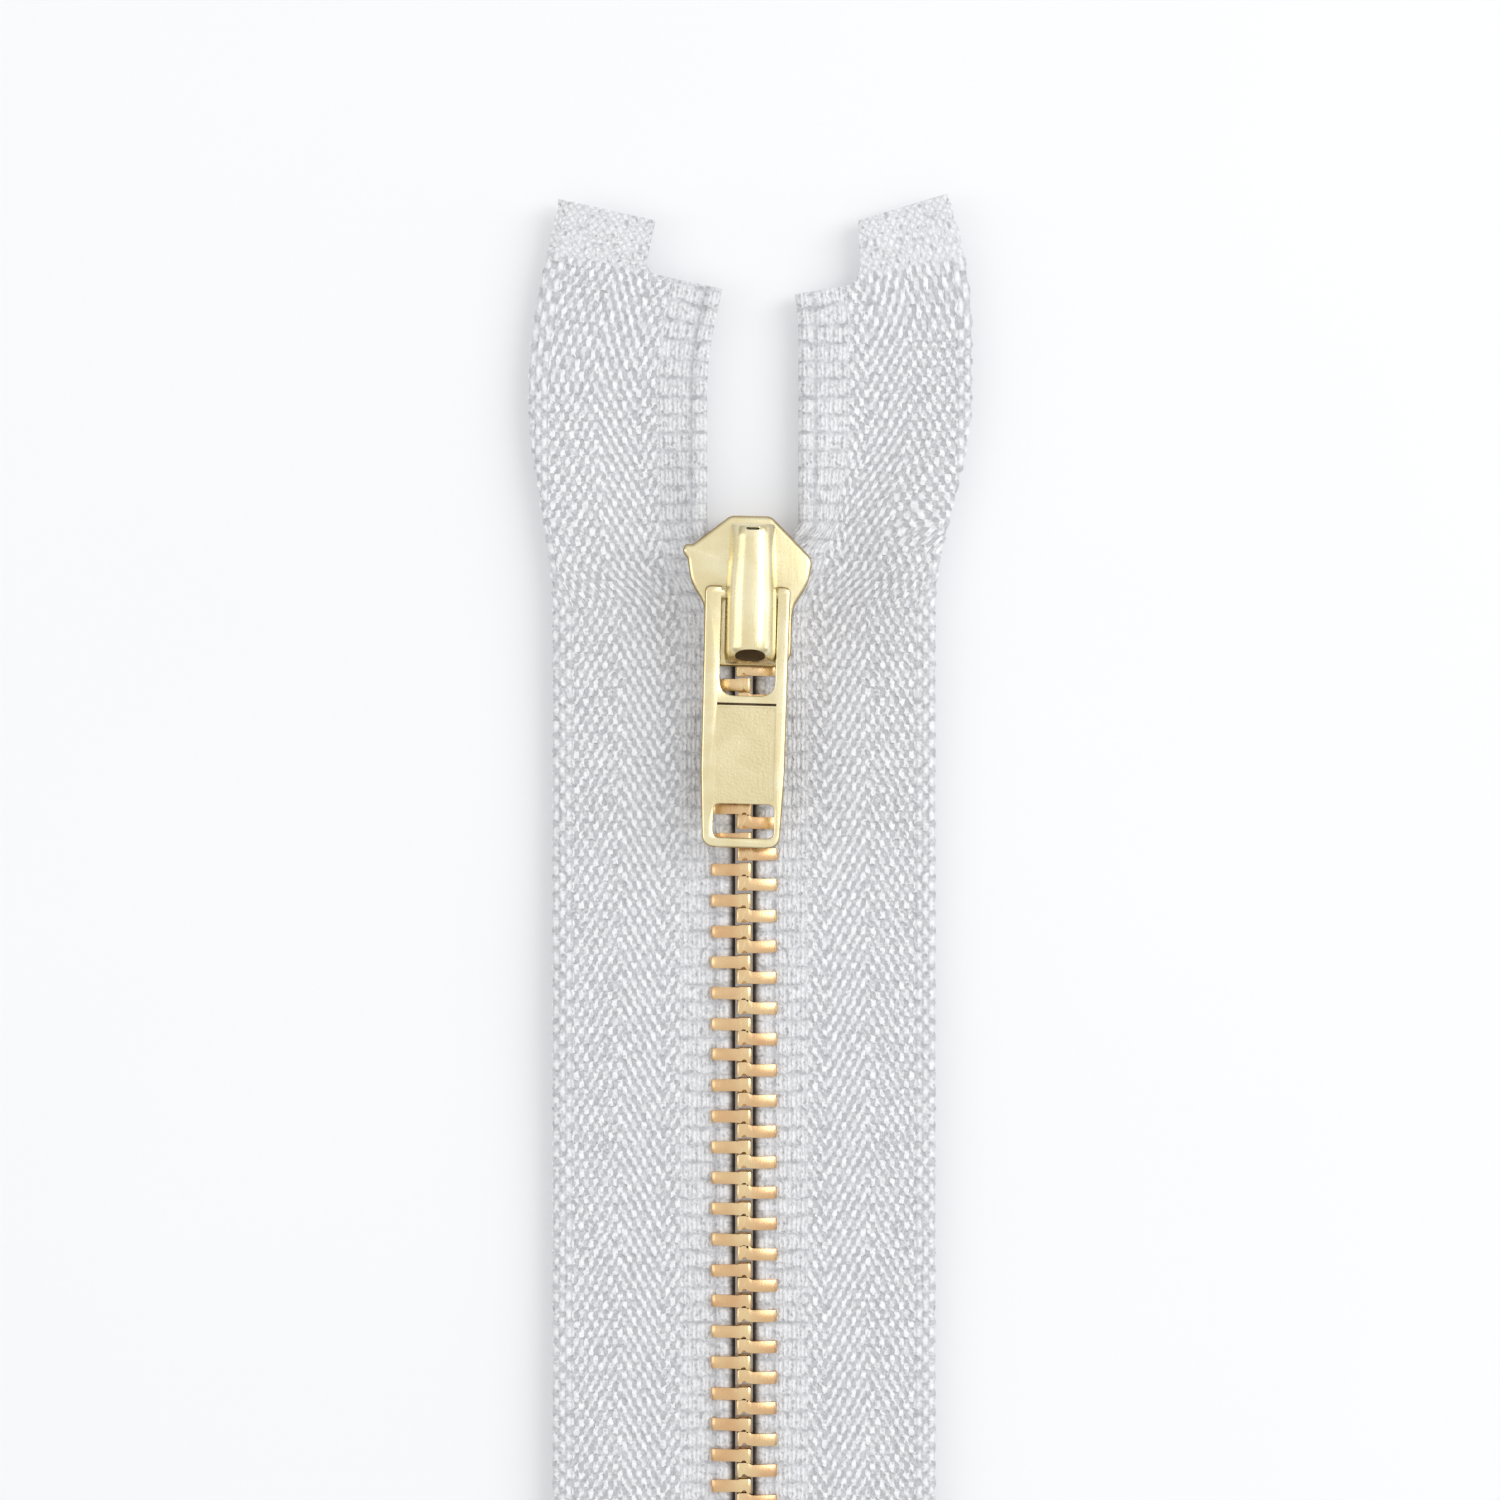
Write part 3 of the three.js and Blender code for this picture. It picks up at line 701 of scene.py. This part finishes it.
def drop_loose_points(obj):
    work = bmesh.new()
    work.from_mesh(obj.data)
    bmesh.ops.remove_doubles(work, verts=work.verts, dist=1e-4)
    loose = [v for v in work.verts if not v.link_faces]
    bmesh.ops.delete(work, geom=loose, context="VERTS")
    work.to_mesh(obj.data)
    work.free()


def build_tapes():
    for side_name, side in SIDES.items():
        obj = tape(f"{side_name}_tape_cloth", side)
        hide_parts(f"{side_name}_tape", f"{side_name}_tape_base")
        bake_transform(obj)


# ---- teeth --------------------------------------------------------------------------


def anticlockwise(outline):
    x, y = np.array(outline).T
    turned = float(np.sum(x * np.roll(y, -1) - np.roll(x, -1) * y))
    return outline[::-1] if turned < 0 else outline


def tooth_plan():
    """The tooth from above: a straight bar from its heel, and a wider head."""
    bar = TOOTH_HALF_BAR
    return anticlockwise(rounded([
        (TOOTH_HEEL, -bar, 0.1), (TOOTH_HEEL, bar, 0.1), (-0.95, bar, 0.1),
        (-1.1, bar + 0.1, 0.1), (-TOOTH_REACH, bar + 0.09, 0.2),
        (-TOOTH_REACH, -bar - 0.07, 0.15), (-1.6, -bar - 0.08, 0.06), (-1.5, -0.26, 0.08),
        (-1.3, -0.26, 0.08), (-1.2, -bar, 0.06),
    ], steps=3))


def tooth_section():
    """The tooth along the chain: rounded, and open at its heel for the cord and the tape."""
    high = TOOTH_HALF_HEIGHT
    hole = CORD_RADIUS + CLAMP_GAP
    slot = TAPE_THICKNESS / 2 + TAPE_GAP
    opening = math.asin(slot / hole)
    ring = [
        (hole * math.cos(angle), hole * math.sin(angle))
        for angle in np.linspace(opening, 2 * math.pi - opening, 15)
    ]
    outside = rounded([
        (TOOTH_HEEL, -slot, 0), (TOOTH_HEEL, -high + 0.22, 0.3), (-0.5, -high, 0.5),
        (-TOOTH_REACH, -high, 0.2), (-TOOTH_REACH, high, 0.2), (-0.5, high, 0.5),
        (TOOTH_HEEL, high - 0.22, 0.3), (TOOTH_HEEL, slot, 0),
    ], steps=4)
    return anticlockwise(outside + ring)


def tooth_shape():
    """One tooth: a clamp round the cord at its heel, a bar, and a head with a hollow."""
    bar, high = TOOTH_HALF_BAR, TOOTH_HALF_HEIGHT
    solid = prism("tooth", tooth_plan(), -2 * high, 2 * high)
    profile = prism("tooth_profile", tooth_section(), 2 * bar, -2 * bar, across="y")
    combine(solid, profile, "INTERSECT")
    cup = block("cup", (-TOOTH_REACH, -1.05), (-CUP_HALF, CUP_HALF), (-high, CUP_FLOOR_Z))
    combine(solid, cup, "UNION")
    bevel(solid, 0.07, 2)
    points = np.array([v.co for v in solid.data.vertices])
    faces = [tuple(p.vertices) for p in solid.data.polygons]
    bpy.data.objects.remove(solid)
    return points, faces


def set_tooth(shape, side, y):
    """The tooth's points where it sits on the cord, very slightly out of true."""
    points = shape.copy()
    head = smooth((-points[:, 0] - 0.7) / 0.5)
    points[:, 1] += side["head_shift"] * head
    turn = -cord_heading(side, y) + math.radians(rng.normal(0, 0.8))
    spin = Matrix.Rotation(turn, 3, "Z")
    points = points @ np.array(spin).T
    points += (cord_x(side, y) + rng.normal(0, 0.02), y + rng.normal(0, 0.02), CHAIN_Z)
    points[:, 0] *= side["sign"]
    return points


def tooth_group(name, node, body, side, ys, shape, shape_faces):
    points, faces, tones_and_highlight = [], [], []
    for y in ys:
        start = sum(len(p) for p in points)
        points.append(set_tooth(shape, side, y))
        step = 1 if side["sign"] > 0 else -1
        faces += [tuple(start + v for v in face[::step]) for face in shape_faces]
        # Each tooth's tone: a random part, plus a painted highlight that lightens it from the
        # heel towards the head.
        tones_and_highlight += list(0.35 * rng.uniform(0, 1) + 0.65 * smooth((-shape[:, 0] - 0.5) / 1.0))
    mesh = make_mesh(name, np.concatenate(points), faces)
    mesh.attributes.new("tone", "FLOAT", "POINT").data.foreach_set("value", tones_and_highlight)
    obj = shade(place(add_object(name, mesh, brass), chain_shift()))
    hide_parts(node)
    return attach(obj, body)


def build_teeth():
    shape, faces = tooth_shape()
    for side_name, side in SIDES.items():
        first = FIRST_TOOTH_Y + (PITCH / 2 if side_name == "right" else 0)
        ys = [first + k * PITCH for k in range(TEETH_PER_SIDE)]
        root = [y for y in ys if y < HINGE_Y - PITCH / 4]
        strand = [y for y in ys if y >= HINGE_Y - PITCH / 4]
        tooth_group(
            f"{side_name}_root_teeth", f"{side_name}_teeth_base", "base", side, root,
            shape, faces,
        )
        for k in range(0, len(strand), TEETH_PER_GROUP):
            number = 1 + k // TEETH_PER_GROUP
            tooth_group(
                f"{side_name}_brass_teeth_{number}", f"{side_name}_teeth_{number}",
                f"{side_name}_strand", side, strand[k:k + TEETH_PER_GROUP], shape, faces,
            )


# ---- stops --------------------------------------------------------------------------


def build_bottom_stop():
    half, length, high = 2.45, BOTTOM_STOP_LENGTH, 1.25
    outline = rounded_box(half, -length, 0, 0.6)
    stop = prism("bottom_stop_clip", outline, -high, high, [brass])
    bevel(stop, 0.35, 4)
    for y in (-0.33 * length, -0.67 * length):
        for face in (-1, 1):
            groove = block(
                "groove", (-half * 0.8, half * 0.8), (y - 0.12, y + 0.12),
                sorted((face * (high - 0.12), face * (high + 1))),
            )
            combine(stop, groove, "DIFFERENCE")
    bevel(stop, 0.05, 2)
    shade(place(stop, chain_shift() @ Matrix.Translation((0, 0, CHAIN_Z))))
    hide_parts("bottom_stop")
    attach(stop, "base")


def build_top_stops():
    y = SLIDER_Y + TOP_STOP_ABOVE
    for side_name, side in SIDES.items():
        outline = rounded([
            (-CORD_RADIUS - 0.35, -0.9, 0.35), (TOOTH_HEEL, -0.9, 0.35),
            (TOOTH_HEEL, 0.9, 0.35), (-CORD_RADIUS - 0.35, 0.9, 0.35),
        ])
        stop = prism(f"{side_name}_stop_clip", outline, -1.05, 1.05, [brass])
        bevel(stop, 0.25, 3)
        turn = Matrix.Rotation(-side["sign"] * cord_heading(side, y), 4, "Z")
        centre = (side["sign"] * cord_x(side, y), y, CHAIN_Z)
        flip = Matrix.Scale(side["sign"], 4, (1, 0, 0))
        place(stop, chain_shift() @ Matrix.Translation(centre) @ turn @ flip)
        if side["sign"] < 0:
            stop.data.flip_normals()
        shade(stop)
        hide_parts(f"{side_name}_top_stop")
        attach(stop, f"{side_name}_strand")


# ---- slider -------------------------------------------------------------------------


def slider_place(y=0.0, z=0.0, across=0.36, turn=-1.3):
    """The slider sits a little to the right of the chain's middle, slightly turned."""
    spin = Matrix.Rotation(math.radians(turn), 4, "Z")
    return chain_shift(SLIDER_Y) @ Matrix.Translation((across, 0, 0)) @ spin @ (
        Matrix.Translation((0, y, z))
    )


def wing_outline(nose):
    """The wings from above, with a small lug on the left shoulder."""
    right = [
        (2.94, -nose, 1.2), (2.94, -1.1, 0.7), (3.98, 0.55, 0.6), (4.24, 2.25, 0.5),
        (1.36, nose, 0.3),
    ]
    lug = [(-3.9, 3.08, 0.15), (-4.4, 3.12, 0.25), (-4.6, 2.62, 0.25), (-4.22, 2.1, 0.12)]
    left = [(-x, *rest) for x, *rest in right]
    return rounded([*right, left[-1], *lug, *reversed(left[:3])])


def channel_outline(past):
    """The way for the teeth: narrow at the tail, and open to both sides at the nose."""
    return rounded([
        (2.6, -past, 0), (2.6, -0.95, 0.6), (3.65, 0.8, 0.4), (3.65, 2.6, 0.2),
        (past, 3.8, 0), (past, past, 0), (-past, past, 0), (-past, 2.9, 0),
        (-3.7, 1.9, 0.2), (-3.6, 0.8, 0.4), (-2.7, -0.95, 0.6), (-2.7, -past, 0),
    ])


def wedge_outline(nose):
    """The post that parts the two rows of teeth, in the middle of the chain."""
    corners = mirrored([(0.06, 1.6, 0.05), (0.55, 3.6, 0.4), (0.42, nose - 0.35, 0.15)])
    return rounded([(x + CHAIN_X, y, radius) for x, y, radius in corners])


def cut_tape_slots(body, past):
    middle = SLIDER_THICKNESS / 2
    for out in (-1, 1):
        slot = block(
            "tape_slot", sorted((2 * out, past * out)), (-past, past),
            (middle - TAPE_SLOT_HALF, middle + TAPE_SLOT_HALF), [gold],
        )
        combine(body, slot, "DIFFERENCE")


def build_slider_body():
    nose, past = SLIDER_LENGTH / 2, 2 * SLIDER_LENGTH
    metals = [gold, painted_shade_wall]
    body = prism("slider_wings", wing_outline(nose), 0, SLIDER_THICKNESS, metals)
    # The wings' side walls get the painted shade.
    paint_sides(body, metals.index(painted_shade_wall))
    bevel(body, 0.28, 4)
    channel = prism("channel", channel_outline(past), WING, WING + CHANNEL, [gold])
    combine(body, channel, "DIFFERENCE")
    cut_tape_slots(body, past)
    ends = (WING / 2, SLIDER_THICKNESS - WING / 2)
    combine(body, prism("wedge", wedge_outline(nose), *ends, [gold]), "UNION")
    prong_hole = block(
        "prong_hole", (PRONG_X - 2 * PRONG_HALF, PRONG_X + 2 * PRONG_HALF), (-3.9, -2.9),
        (SLIDER_THICKNESS - 2 * WING, 8), [gold],
    )
    combine(body, prong_hole, "DIFFERENCE")
    bevel(body, 0.05, 2)
    shade(place(body, slider_place()))
    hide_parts("slider_body")
    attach(body, "slider")


def crown_half_width(y):
    return 1.5 + 0.26 * smooth((5 - y) / 6)


def crown_surface(inset):
    """Half of the crown's wall: an arch along the slider, rounded down at both ends."""
    tail, nose, height = -4.95 + inset, 4.55 - inset, 2.93 - inset
    tail_radius, nose_radius = 1.1 - inset / 2, 0.3
    stations = np.concatenate([
        tail + tail_radius * (1 - np.cos(np.linspace(0, math.pi / 2, 10))),
        np.linspace(tail + tail_radius, nose - nose_radius, 14)[1:-1],
        nose - nose_radius * (1 - np.cos(np.linspace(math.pi / 2, 0, 8))),
    ])
    points = []
    for y in stations:
        past = max((tail + tail_radius - y) / tail_radius, (y - nose + nose_radius) / nose_radius)
        drop = math.sqrt(max(0.0, 1 - max(0.0, past) ** 2))
        half = (crown_half_width(y) - inset) * (0.9 + 0.1 * drop)
        for angle in np.linspace(0, math.pi, CROWN_STEPS):
            across = math.copysign(abs(math.cos(angle)) ** 0.7, math.cos(angle))
            up = abs(math.sin(angle)) ** 0.7
            points.append((half * across, y, height * drop * up))
    return points, len(stations)


def tail_hollow(metals):
    """The tool that presses the oval hollow into the crown's tail; the hollow's walls carry
    near-black painted shade.
    """
    work = bmesh.new()
    bmesh.ops.create_uvsphere(work, u_segments=32, v_segments=16, radius=1)
    work.transform(Matrix.LocRotScale(
        (0, -4.46, 2.55), Matrix.Rotation(math.radians(64), 3, "X"), (1.22, 1.1, 0.3)
    ))
    mesh = bpy.data.meshes.new("tail_hollow")
    work.to_mesh(mesh)
    work.free()
    hollow = add_object("tail_hollow", mesh, *metals)
    paint(hollow, metals.index(painted_recess_shade))
    return hollow


def build_crown():
    outside, rows = crown_surface(0)
    inside, _ = crown_surface(CROWN_WALL)
    index = np.arange(rows * CROWN_STEPS).reshape(rows, CROWN_STEPS)
    corners = [index[:-1, :-1], index[:-1, 1:], index[1:, 1:], index[1:, :-1]]
    quads = np.stack([c.ravel() for c in corners[::-1]], axis=-1)
    faces = close_sheet(quads, len(outside))
    mesh = make_mesh("slider_cover", outside + inside, faces)
    # The crown's inside faces get the near-black painted shade.
    inner_faces = [int(len(quads) <= k < 2 * len(quads)) for k in range(len(faces))]
    crown = add_object("slider_cover", mesh, gold, painted_recess_shade)
    mesh.polygons.foreach_set("material_index", inner_faces)
    seat = SLIDER_THICKNESS
    reach = BAR_RADIUS + 0.15
    metals = [gold, painted_recess_shade]
    notch = rounded([
        (BAR_Y - reach, -1, 0), (BAR_Y + reach, -1, 0),
        (BAR_Y + reach, BAR_Z + reach - seat, 0.5), (BAR_Y - reach, BAR_Z + reach - seat, 0.5),
    ])
    combine(crown, prism("bar_notch", notch, -5, 5, metals, across="x"), "DIFFERENCE")
    slit = rounded_box(0.46, 4.02, 4.2, 0.08)
    combine(crown, prism("nose_slit", slit, 1.5, 5, metals), "DIFFERENCE")
    combine(crown, tail_hollow(metals), "DIFFERENCE")
    shade(place(crown, slider_place(0, seat, 0.52)), 50)
    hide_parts("slider_crown")
    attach(crown, "slider")


def pull_outline():
    return rounded(mirrored([
        (2.6, -17.15, 0.9), (2.68, -15.5, 0), (2.83, -12, 0), (2.86, -4, 0), (2.89, 0.5, 0.45),
    ]))


def open_pull(pull, metals):
    """Cuts the upper window and the lower slot through the pull."""
    window = rounded_box(1.88, -6.9, 3.0, 1.1, PULL_INNER_X)
    combine(pull, prism("window", window, -2, 2, metals), "DIFFERENCE")
    slot = rounded_box(2.06, -16.5, -14.2, 0.5, PULL_INNER_X)
    combine(pull, prism("slot", slot, -2, 2, metals), "DIFFERENCE")


def press_panels(pull, half, metals):
    """Presses a stippled panel into each face, and a line above the front one whose walls carry
    painted shade.
    """
    outline = rounded_box(2.0, -14.0, -7.65, 0.2, PULL_INNER_X)
    for low, high in ((half - PANEL_DEPTH, 2), (-2, -half + PANEL_DEPTH)):
        panel = prism("panel", outline, low, high, metals)
        paint(panel, metals.index(stippled))
        combine(pull, panel, "DIFFERENCE")
    line = block("line", (-1.86, 2.14), (-7.55, -7.38), (half - 0.3, 2), metals)
    paint(line, metals.index(painted_recess_shade))
    combine(pull, line, "DIFFERENCE")


def pull_bar(metals):
    angles = np.linspace(0, 2 * math.pi, 25)[:-1]
    circle = [(BAR_RADIUS * math.cos(a), BAR_RADIUS * math.sin(a)) for a in angles]
    return prism("bar", circle, -2.6, 2.6, metals, across="x")


def build_pull():
    """Drawn about its bar, hanging towards -y."""
    half = PULL_THICKNESS / 2
    metals = [gold, stippled, painted_recess_shade, painted_shade_wall]
    pull = prism("pull_plate", pull_outline(), -half, half, metals)
    # The pull's side walls get the painted shade.
    paint_sides(pull, metals.index(painted_shade_wall))
    bevel(pull, 0.16, 3)
    open_pull(pull, metals)
    bevel(pull, 0.1, 2, 50)
    press_panels(pull, half, metals)
    combine(pull, pull_bar(metals), "UNION")
    shade(place(pull, slider_place(BAR_Y, BAR_Z, 0.26, -1.6)), 35)
    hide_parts("pull_tab")
    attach(pull, "pull")


def build_spring():
    """A leaf held in the crown's nose, with a prong that drops between the teeth."""
    side = (PRONG_X - PRONG_HALF, PRONG_X + PRONG_HALF)
    ends = (-3.5, -3.1)
    sheet = (LEAF_Z, LEAF_Z + LEAF_THICKNESS)
    spring = block("lock_leaf", (-0.34, 0.66), (-3.6, 4.35), sheet, [steel])
    combine(spring, block("lock_arm", (side[0], 0), ends, sheet, [steel]), "UNION")
    prong_z = (PRONG_TIP_Z, LEAF_Z + LEAF_THICKNESS / 2)
    prong = block("lock_prong", side, ends, prong_z, [steel])
    combine(spring, prong, "UNION")
    bevel(spring, 0.04, 2)
    shade(place(spring, slider_place()))
    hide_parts("lock_spring")
    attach(spring, "lock")


# ---- table, light and camera --------------------------------------------------------


def build_table():
    half = 1.2
    points = [(-half, -half, 0), (half, -half, 0), (half, half, 0), (-half, half, 0)]
    table = add_object("table", make_mesh("table", points, [(0, 1, 2, 3)]), floor_material())
    table.location.z = -0.00005


def area_light(name, location, size, power, target=(0, 0.035, 0)):
    light = bpy.data.lights.new(name, "AREA")
    light.shape = "RECTANGLE"
    light.size, light.size_y = size
    light.energy = power
    obj = bpy.data.objects.new(name, light)
    bpy.context.scene.collection.objects.link(obj)
    obj.location = location
    towards = Vector(target) - Vector(location)
    obj.rotation_euler = towards.to_track_quat("-Z", "Y").to_euler()


def light_studio():
    area_light("key", (0.36, 0.16, 0.42), (0.22, 0.5), 1.2)
    area_light("rim", (0.6, 0.05, 0.13), (0.3, 0.22), 0.3)
    area_light("fill", (-0.5, 0.02, 0.32), (0.2, 0.6), 0.5)
    world = bpy.data.worlds.new("studio")
    bpy.context.scene.world = world
    world.use_nodes = True
    tree = world.node_tree
    direction = tree.nodes.new("ShaderNodeTexCoord").outputs["Generated"]
    parts = tree.nodes.new("ShaderNodeSeparateXYZ")
    tree.links.new(direction, parts.inputs[0])
    height = Field(tree, parts.outputs["Z"]).ramp(0.0, 1.0)
    colour = mix_colours(tree, height, (0.36, 0.34, 0.31), (0.88, 0.885, 0.89))
    tree.links.new(colour, tree.nodes["Background"].inputs["Color"])
    tree.nodes["Background"].inputs["Strength"].default_value = 1.0


def add_camera():
    width, lens, sensor = 102.04, 120.0, 36.0
    camera = bpy.data.cameras.new("camera")
    camera.lens = lens
    camera.sensor_width = sensor
    camera.clip_start, camera.clip_end = 0.01, 10
    obj = bpy.data.objects.new("camera", camera)
    bpy.context.scene.collection.objects.link(obj)
    obj.location = (0.41 * MM, 36.1 * MM, (width * lens / sensor + CHAIN_Z) * MM)
    bpy.context.scene.camera = obj


build_tapes()
build_teeth()
build_bottom_stop()
build_top_stops()
build_slider_body()
build_crown()
build_pull()
build_spring()
build_table()
light_studio()
add_camera()
bpy.context.scene.view_settings.view_transform = "Standard"
